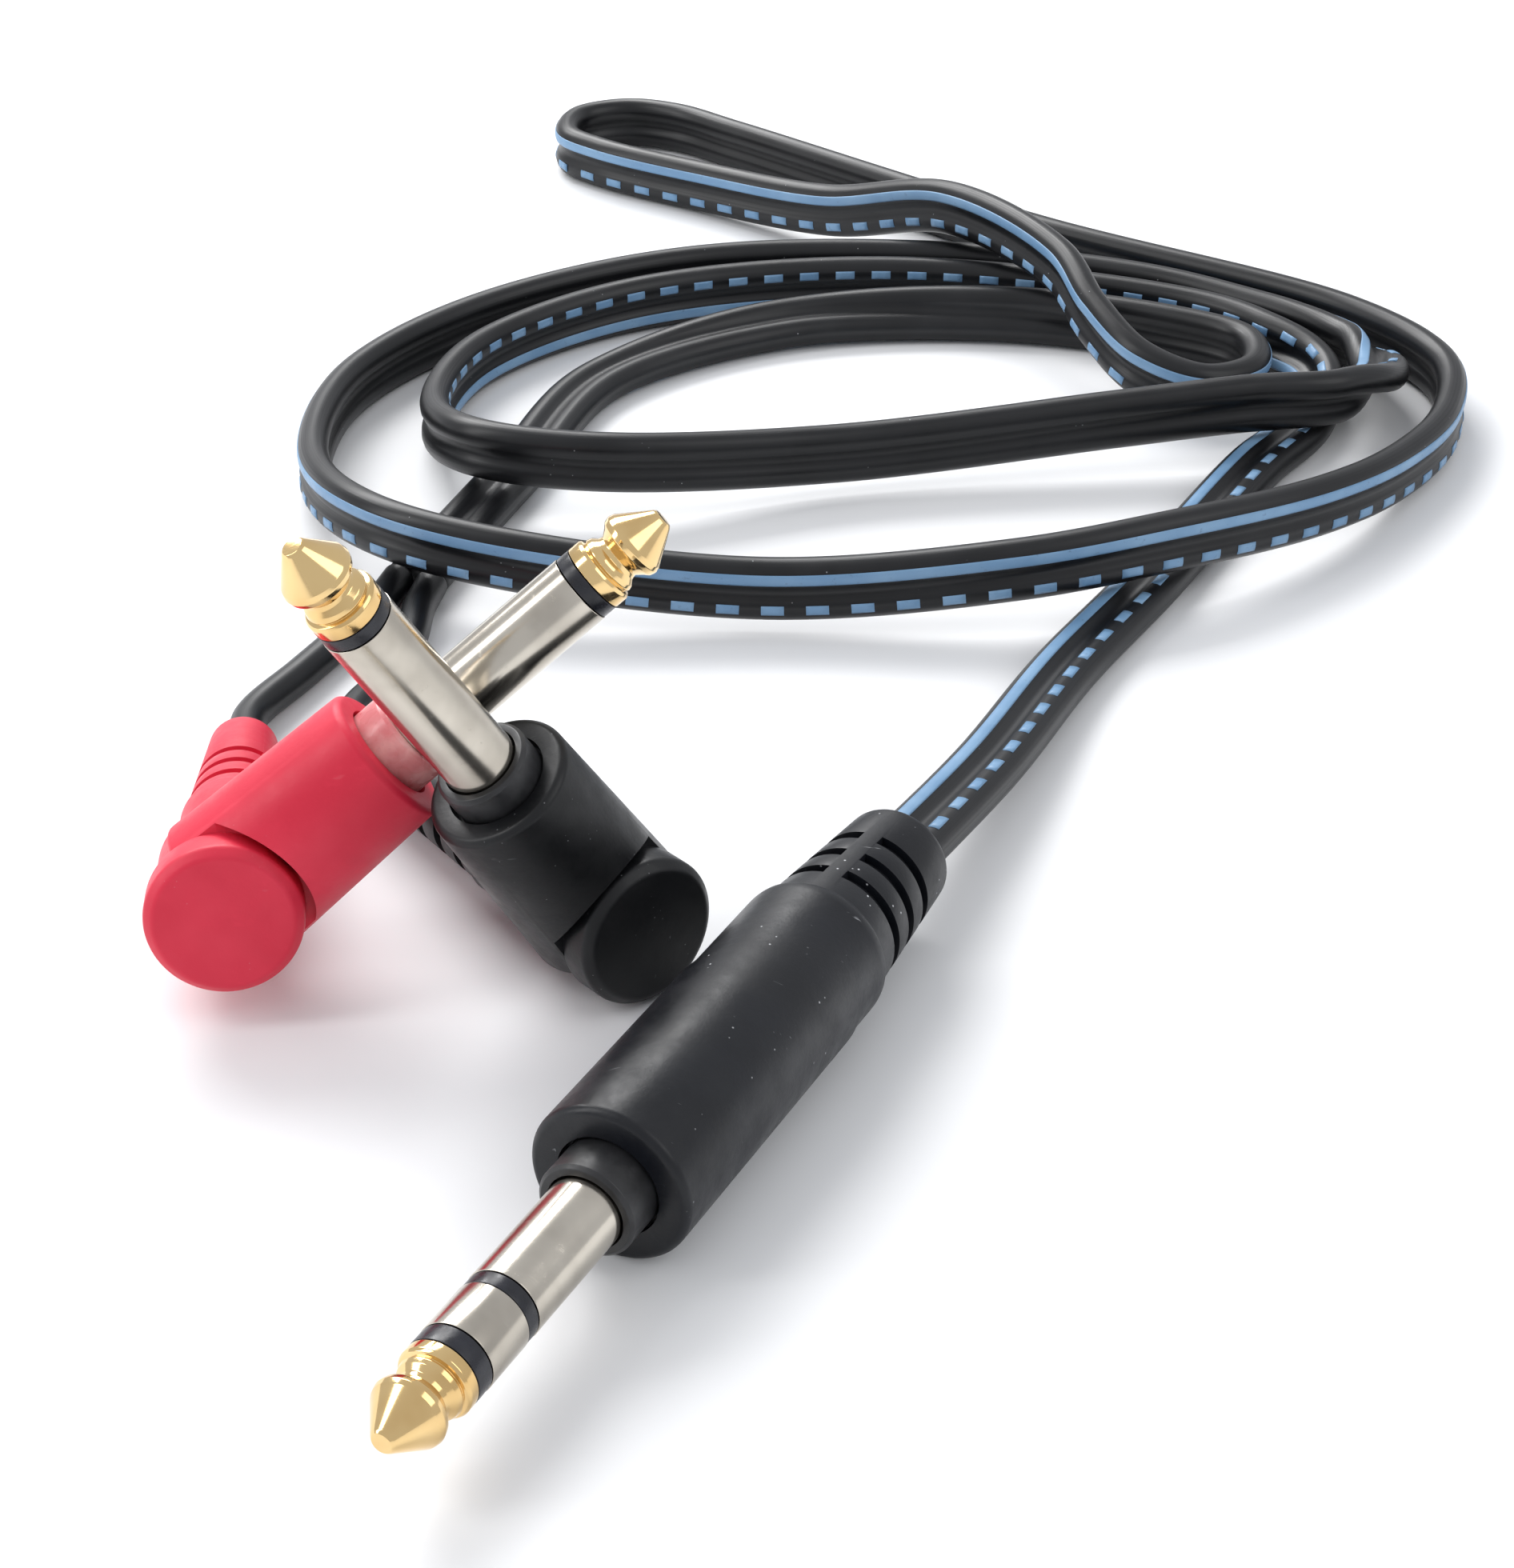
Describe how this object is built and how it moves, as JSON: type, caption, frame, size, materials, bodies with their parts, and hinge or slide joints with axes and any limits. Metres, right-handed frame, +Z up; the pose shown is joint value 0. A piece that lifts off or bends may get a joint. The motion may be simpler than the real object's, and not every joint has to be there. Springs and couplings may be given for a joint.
{
  "type": "instrument cable",
  "caption": "Y instrument cable with a straight stereo phone plug, a flat twin lead with blue stripes, and red and black right-angle mono plugs.",
  "frame": {"origin": "on the surface that the cable lies on, under the middle of the three plugs taken together", "axes": "+Z up, +Y from the stereo plug's side towards the coiled cable, +X to the right of that, the long box side of the three plugs along Y"},
  "size_m": [0.1368, 0.2726, 0.0497],
  "materials": {
    "gold": "polished gold plate",
    "nickel": "polished nickel plate",
    "insulator": "semi-gloss",
    "black_pvc": "satin soft PVC",
    "red_pvc": "satin soft PVC",
    "dark_mould": "smooth",
    "red_mould": "smooth, slightly clear",
    "copper": "bare stranded copper",
    "core_insulation": "matt",
    "cord_pvc": "satin with light blue printed stripes"
  },
  "bodies": {
    "root": {"black_body": "black_pvc", "black_conductor": "copper", "black_core": "core_insulation", "black_inner_mold": "dark_mould", "black_lead": "cord_pvc", "black_rear_insulator": "insulator", "black_shield": "copper", "black_sleeve": "nickel", "black_sleeve_lug": "nickel", "black_tip": "gold", "black_tip_insulator": "insulator", "black_tip_lug": "gold", "red_body": "red_pvc", "red_conductor": "copper", "red_core": "core_insulation", "red_inner_mold": "red_mould", "red_lead": "cord_pvc", "red_rear_insulator": "insulator", "red_shield": "copper", "red_sleeve": "nickel", "red_sleeve_lug": "nickel", "red_tip": "gold", "red_tip_insulator": "insulator", "red_tip_lug": "gold", "stereo_body": "black_pvc", "stereo_inner_mold": "dark_mould", "stereo_rear_insulator": "insulator", "stereo_ring": "nickel", "stereo_ring_conductor": "copper", "stereo_ring_core": "core_insulation", "stereo_ring_insulator": "insulator", "stereo_ring_lug": "nickel", "stereo_ring_shield": "copper", "stereo_sleeve": "nickel", "stereo_sleeve_lug": "nickel", "stereo_tip": "gold", "stereo_tip_conductor": "copper", "stereo_tip_core": "core_insulation", "stereo_tip_insulator": "insulator", "stereo_tip_lug": "gold", "stereo_tip_shield": "copper", "twin_cable": "cord_pvc"}
  },
  "joints": []
}
